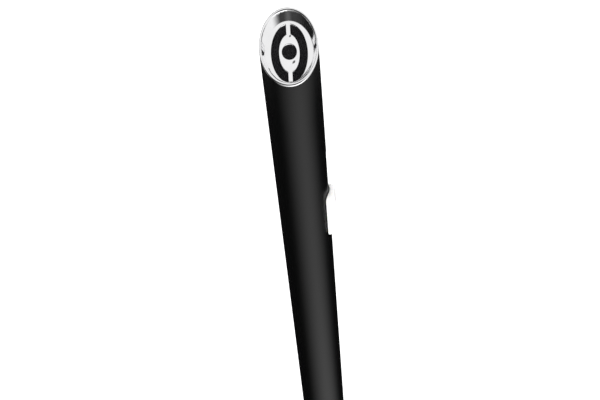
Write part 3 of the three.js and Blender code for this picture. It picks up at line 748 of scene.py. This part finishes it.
# ---------------------------------------------------------------- soft pieces
def soft_disc(name, radius, low, high, body, slot, node, dish, crown, pits, seed):
    """A round pad. Its faces swell or dip, its edge is full, and shallow pits give it an open surface."""
    local = np.random.default_rng(seed)
    rings, around = 44, 132
    # From the middle of the low face, round the edge, to the middle of the high face
    thick = high - low
    edge = min(0.45, thick / 2)
    path = []
    for t in np.linspace(0, 1, rings):
        path.append(((radius - edge) * t, -1.0))
    for a in np.linspace(-80, 80, 9):
        path.append((radius - edge + edge * math.cos(math.radians(a)), math.sin(math.radians(a))))
    for t in np.linspace(1, 0, rings):
        path.append(((radius - edge) * t, 1.0))
    spots = local.uniform(-radius, radius, (pits, 2))
    depth = local.uniform(0.3, 1.0, pits)
    size = local.uniform(0.12, 0.24, pits)

    def pit(x, y):
        gap = np.hypot(spots[:, 0] - x, spots[:, 1] - y)
        return float(np.max(depth * np.exp(-(gap / size) ** 2)))

    verts, faces = [], []
    middle = (low + high) / 2
    for n, (r, side) in enumerate(path):
        for k in range(around):
            a = 2 * math.pi * (k + 0.5 * (n % 2)) / around
            x, y = r * math.cos(a), r * math.sin(a)
            share = r / radius
            half = thick / 2 if abs(side) == 1.0 else thick / 2 - edge
            if abs(side) == 1.0:
                z = middle + side * half
            else:
                z = middle + np.sign(side) * half + side * edge
            if side == -1.0:
                z += dish * (1 - share ** 2) + 0.09 * pit(x, y)
            elif side == 1.0:
                z += -crown * share ** 2 - 0.09 * pit(x, y)
            else:
                z += (0.0 if side < 0 else -crown * share ** 2)
                x *= 1 - 0.05 * pit(x, z) / radius
                y *= 1 - 0.05 * pit(y, z) / radius
            verts.append((x, y, z))
    rows = len(path)
    for n in range(rows - 1):
        for k in range(around):
            m = (k + 1) % around
            a, b = n * around, (n + 1) * around
            faces.append((a + k, a + m, b + m, b + k))
    obj = piece(name, verts, faces, body, slot, [node], sharp=70)
    return obj


soft_disc("sponge", 4.8, 1.92, 3.76, "cap", "sponge_dark", "cap_sponge", 0.0, 0.05, 520, 3)
soft_disc("pad", 3.6, 4.62, 5.48, "cleaning_tip", "pad_black", "tip_pad", 0.28, 0.0, 260, 5)

# ---------------------------------------------------------------- pieces that keep their CAD shape
for node, slot in {
    "track_sleeve": "inner_grey", "sleeve_end_stop": "inner_grey", "carriage": "inner_black",
    "friction_leaf": "spring_steel", "brush_head": "inner_black", "brush_head_pin": "spring_steel",
}.items():
    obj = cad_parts[node]
    obj.data.materials.clear()
    obj.data.materials.append(MATS[slot])

# ---------------------------------------------------------------- studio
class Graph:
    """A few sums on a shader's nodes."""

    def __init__(self, tree):
        self.nodes, self.links = tree.nodes, tree.links
        self.nodes.clear()

    def new(self, kind, **inputs):
        node = self.nodes.new(kind)
        for name, value in inputs.items():
            socket = node.inputs[name.replace("_", " ")]
            if hasattr(value, "is_output"):
                self.links.new(value, socket)
            else:
                socket.default_value = value
        return node

    def math(self, kind, *values):
        node = self.nodes.new("ShaderNodeMath")
        node.operation = kind
        for socket, value in zip(node.inputs, values):
            if hasattr(value, "is_output"):
                self.links.new(value, socket)
            else:
                socket.default_value = value
        return node.outputs["Value"]

    def ease(self, value, low, high, a=0.0, b=1.0):
        """A smooth change from a to b as value goes from low to high."""
        node = self.nodes.new("ShaderNodeMapRange")
        node.interpolation_type = "SMOOTHSTEP"
        for name, number in (("From Min", low), ("From Max", high), ("To Min", a), ("To Max", b)):
            node.inputs[name].default_value = number
        self.links.new(value, node.inputs["Value"])
        return node.outputs["Result"]

    def bump(self, value, low, middle, high, height):
        """A smooth hill."""
        rise = self.ease(value, low, middle, 0.0, height)
        return self.math("MULTIPLY", rise, self.ease(value, middle, high, 1.0, 0.0))

    def compass(self, coordinate):
        """The bearing in degrees, from -Y towards +X, then the height and the distance from the axis."""
        split = self.new("ShaderNodeSeparateXYZ", Vector=coordinate)
        x, y, z = (split.outputs[k] for k in "XYZ")
        bearing = self.math("DEGREES", self.math("ARCTAN2", x, self.math("MULTIPLY", y, -1.0)))
        squares = self.math("ADD", self.math("MULTIPLY", x, x), self.math("MULTIPLY", y, y))
        return bearing, z, self.math("SQRT", squares)


SHINE_AT = 24.0  # bearing of the barrel's long soft highlight
PANEL = Vector((-0.268, -0.154, 0.951))  # the direction of a small dark panel overhead


def build_floor():
    """A pale floor. Glossy pieces see a soft glow before the pen, and it bright far off beside and behind."""
    mesh = bpy.data.meshes.new("floor")
    s, z = 6.0, -0.0001
    mesh.from_pydata([(-s, -s, z), (s, -s, z), (s, s, z), (-s, s, z)], [], [(0, 1, 2, 3)])
    mat = bpy.data.materials.new("floor")
    mat.use_nodes = True
    g = Graph(mat.node_tree)
    out = g.new("ShaderNodeOutputMaterial")
    path = g.new("ShaderNodeLightPath")
    pale = g.new("ShaderNodeBsdfDiffuse", Color=(0.86, 0.86, 0.86, 1))
    glow = g.new("ShaderNodeEmission", Strength=0.45)
    lit = g.nodes.new("ShaderNodeAddShader")
    g.links.new(pale.outputs["BSDF"], lit.inputs[0])
    g.links.new(glow.outputs["Emission"], lit.inputs[1])
    bearing, _, far = g.compass(g.new("ShaderNodeTexCoord").outputs["Object"])
    before = g.bump(bearing, SHINE_AT - 90, SHINE_AT, SHINE_AT + 78, 1.5)
    turn = g.math("RADIANS", g.math("MULTIPLY", g.math("SUBTRACT", bearing, SHINE_AT), 3.0))
    petals = g.ease(g.math("COSINE", turn), -0.4, 1.0, 0.0, 0.6)
    around = g.math("MULTIPLY", petals, g.ease(far, 0.35, 0.8))
    behind = g.math("MAXIMUM", g.ease(bearing, -112, -94, 1.0, 0.0), g.ease(bearing, 30, 50))
    distant = g.math("MULTIPLY", behind, g.ease(far, 0.5, 0.9, 0.0, 0.95))
    near = g.math("MAXIMUM", before, around)
    shine = g.new("ShaderNodeEmission", Strength=g.math("MAXIMUM", near, distant))
    mix = g.nodes.new("ShaderNodeMixShader")
    g.links.new(path.outputs["Is Glossy Ray"], mix.inputs["Fac"])
    g.links.new(lit.outputs["Shader"], mix.inputs[1])
    g.links.new(shine.outputs["Emission"], mix.inputs[2])
    g.links.new(mix.outputs["Shader"], out.inputs["Surface"])
    mesh.materials.append(mat)
    obj = bpy.data.objects.new("floor", mesh)
    bpy.context.scene.collection.objects.link(obj)


def build_world():
    """Soft white light all round. Glossy pieces see a dark wall before the pen and a grey one to its left."""
    world = bpy.data.worlds.new("studio")
    bpy.context.scene.world = world
    world.use_nodes = True
    g = Graph(world.node_tree)
    out = g.new("ShaderNodeOutputWorld")
    path = g.new("ShaderNodeLightPath")
    plain = g.new("ShaderNodeBackground", Color=(1, 1, 1, 1), Strength=1.25)
    where = g.new("ShaderNodeTexCoord").outputs["Generated"]
    bearing, height, _ = g.compass(where)
    front = g.math("MULTIPLY", g.ease(bearing, -118, -86), g.ease(bearing, 16, 44, 1.0, 0.0))
    front = g.math("MULTIPLY", front, g.ease(height, 0.42, 0.62, 1.0, 0.0))
    shade = g.math("ADD", g.ease(bearing, -60, -25, 0.014, 0.055), g.bump(bearing, -18, -5, 8, 0.08))
    grey = g.math("MULTIPLY", g.ease(bearing, -120, -94, 0.86, 0.0),
                  g.ease(height, 0.985, 0.998, 1.0, 0.0))
    open_sky = g.math("MULTIPLY", g.math("SUBTRACT", 1.0, front), 1.1)
    sky = g.math("ADD", open_sky, g.math("MULTIPLY", front, shade))
    sky = g.math("MULTIPLY", sky, g.math("SUBTRACT", 1.0, grey))
    toward = g.nodes.new("ShaderNodeVectorMath")
    toward.operation = "DOT_PRODUCT"
    g.links.new(where, toward.inputs[0])
    toward.inputs[1].default_value = PANEL
    sky = g.math("MULTIPLY", sky, g.ease(toward.outputs["Value"], 0.978, 0.993, 1.0, 0.12))
    seen = g.new("ShaderNodeBackground", Strength=sky)
    mix = g.nodes.new("ShaderNodeMixShader")
    g.links.new(path.outputs["Is Glossy Ray"], mix.inputs["Fac"])
    g.links.new(plain.outputs["Background"], mix.inputs[1])
    g.links.new(seen.outputs["Background"], mix.inputs[2])
    g.links.new(mix.outputs["Shader"], out.inputs["Surface"])


build_floor()
build_world()

# ---------------------------------------------------------------- camera
camera = bpy.data.cameras.new("camera")
camera.sensor_width = 36
camera.lens = 54
cam = bpy.data.objects.new("camera", camera)
bpy.context.scene.collection.objects.link(cam)
bpy.context.scene.camera = cam


def place_camera():
    """Sets the camera by the mouth's centre and the pen's axis before it (x right, y down, z forward)."""
    mouth = Vector((-2.609, -35.49, 209.147))
    al, be, psi = 0.9619, 0.1016, math.radians(-3.5)
    tail = Vector((math.sin(be) * math.sin(al), math.cos(be) * math.sin(al), math.cos(al)))
    view = -mouth.normalized()
    e1 = (view - tail * view.dot(tail)).normalized()
    e2 = tail.cross(e1)
    if e2.x < 0:
        e2 = -e2
    front = e1 * math.cos(psi) + e2 * math.sin(psi)
    x_pen = -e1 * math.sin(psi) + e2 * math.cos(psi)
    rot = Matrix((x_pen, -front, -tail))  # rows: the pen's axes in camera coordinates
    centre = Vector((0, 0, MOUTH_Z)) - rot @ mouth
    right = rot @ Vector((1, 0, 0))
    up = rot @ Vector((0, -1, 0))
    back = rot @ Vector((0, 0, -1))
    m = Matrix((right, up, back)).transposed().to_4x4()
    m.translation = centre / 1000
    cam.matrix_world = m
    camera.clip_start, camera.clip_end = 0.005, 50


place_camera()

scene = bpy.context.scene
scene.view_settings.view_transform = "Standard"
scene.view_settings.look = "None"
